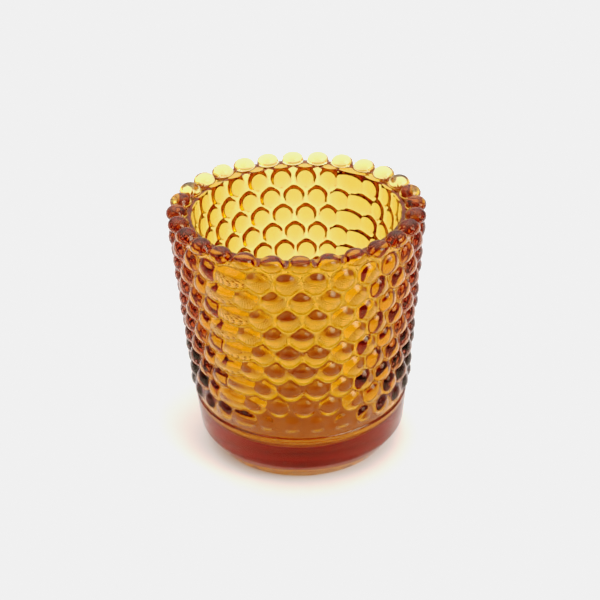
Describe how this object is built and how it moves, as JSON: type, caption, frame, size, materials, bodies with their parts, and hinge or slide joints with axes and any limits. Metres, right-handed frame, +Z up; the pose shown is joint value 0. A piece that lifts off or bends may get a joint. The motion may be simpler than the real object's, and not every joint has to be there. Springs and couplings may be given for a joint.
{
  "type": "tealight holder",
  "caption": "Tapered pressed-glass tumbler with a heavy plain foot, staggered round hobs on its wall and a beaded rim, open at the top to hold a tealight.",
  "frame": {"origin": "middle of the underside, on the table", "axes": "+Z up along the axis of the cup, -Y to the front, +X to the right"},
  "size_m": [0.0678, 0.0678, 0.07],
  "materials": {
    "amber_glass": "clear amber pressed glass, fire-polished and glossy"
  },
  "bodies": {
    "root": {"glass_holder": "amber_glass"}
  },
  "joints": []
}
